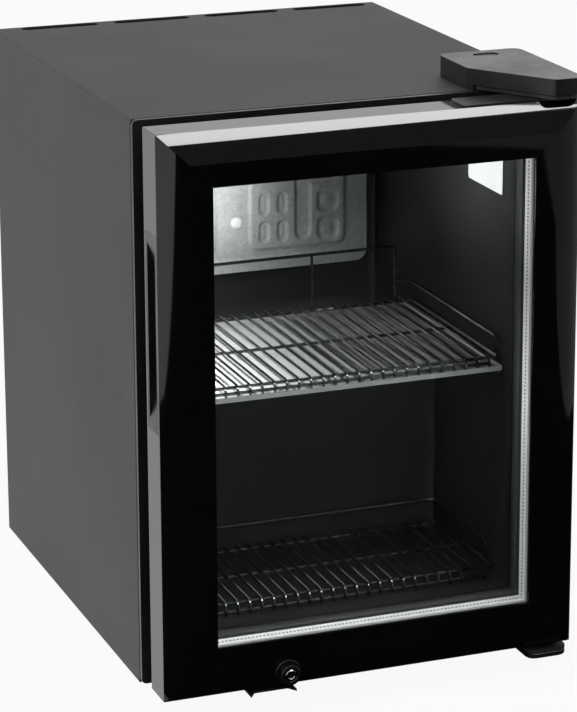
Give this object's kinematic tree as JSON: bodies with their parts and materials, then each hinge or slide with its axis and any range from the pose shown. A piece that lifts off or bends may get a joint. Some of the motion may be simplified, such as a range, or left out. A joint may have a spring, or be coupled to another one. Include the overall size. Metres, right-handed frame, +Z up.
{
  "type": "bar refrigerator",
  "caption": "Counter-top bar refrigerator: dark sheet cabinet, hinged double-glazed door with cam lock and finger recess, wire shelves, evaporator plate, compressor and condenser at the back.",
  "frame": {"origin": "on the ground under the middle of the machine's outer box", "axes": "+Z up, -Y out of the glass door, +X towards the hinged side"},
  "size_m": [0.382, 0.485, 0.5253],
  "materials": {
    "cabinet_paint": "satin",
    "galvanised": "satin",
    "foam": "matte",
    "liner_black": "gloss",
    "plastic_black": "satin",
    "aluminium": "satin",
    "chrome": "polished",
    "tray_white": "gloss",
    "rubber_black": "matte",
    "machine_black": "satin",
    "copper": "polished",
    "frame_black": "gloss",
    "glass": "polished",
    "spacer_silver": "satin"
  },
  "bodies": {
    "cabinet": {"outer_shell": "cabinet_paint", "base_pan": "galvanised", "insulation": "foam", "inner_liner": "liner_black", "front_frame": "plastic_black", "back_plate": "galvanised", "evaporator_plate": "aluminium", "evaporator_screw_lower": "galvanised", "evaporator_screw_upper": "galvanised", "upper_shelf": "chrome", "upper_shelf_guard": "chrome", "shelf_tray": "tray_white", "shelf_runner_left": "liner_black", "shelf_runner_right": "liner_black", "lower_shelf": "chrome", "lower_shelf_guard": "chrome", "upper_hinge_plate": "galvanised", "upper_hinge_cover": "plastic_black", "lower_hinge_bracket": "galvanised", "lower_hinge_cover": "plastic_black", "foot_front_left": "rubber_black", "foot_front_right": "rubber_black", "foot_rear_left": "rubber_black", "foot_rear_right": "rubber_black", "lock_keeper": "machine_black", "compressor": "machine_black", "compressor_plate": "machine_black", "compressor_mount_1": "rubber_black", "compressor_mount_2": "rubber_black", "compressor_mount_3": "rubber_black", "compressor_mount_4": "rubber_black", "terminal_cover": "plastic_black", "cord_gland": "rubber_black", "evaporation_dish": "plastic_black", "drain_pipe": "plastic_black", "condenser": "machine_black", "condenser_channel_left": "galvanised", "condenser_channel_right": "galvanised", "filter_drier": "copper", "capillary_tube": "copper", "discharge_pipe": "copper", "suction_pipe": "copper", "thermostat_body": "plastic_black"},
    "door": {"door_rail_top": "frame_black", "door_rail_bottom": "frame_black", "door_stile_handle": "frame_black", "door_stile_hinge": "frame_black", "glazing_bead": "rubber_black", "glass_front": "glass", "glass_spacer": "spacer_silver", "glass_rear": "glass", "door_inner_frame": "plastic_black", "door_gasket": "rubber_black", "handle_insert": "plastic_black", "hinge_cap_top": "plastic_black", "hinge_cap_bottom": "plastic_black", "lock_barrel": "machine_black"},
    "lock": {"lock_plug": "chrome", "lock_cam": "machine_black"},
    "thermostat": {"thermostat_knob": "plastic_black"}
  },
  "joints": [
    {"name": "door_hinge", "type": "hinge", "parent": "cabinet", "child": "door", "pos_m": [0.1722, -0.20617, 0.018], "axis": [0, 0, 1], "range_deg": [0, 120]},
    {"name": "lock_turn", "type": "hinge", "parent": "door", "child": "lock", "pos_m": [-0.081, -0.24253, 0.0335], "axis": [0, -1, 0], "range_deg": [0, 90]},
    {"name": "thermostat_turn", "type": "hinge", "parent": "cabinet", "child": "thermostat", "pos_m": [0.13, 0.19913, 0.206], "axis": [0, 1, 0], "range_deg": [0, 270]}
  ]
}
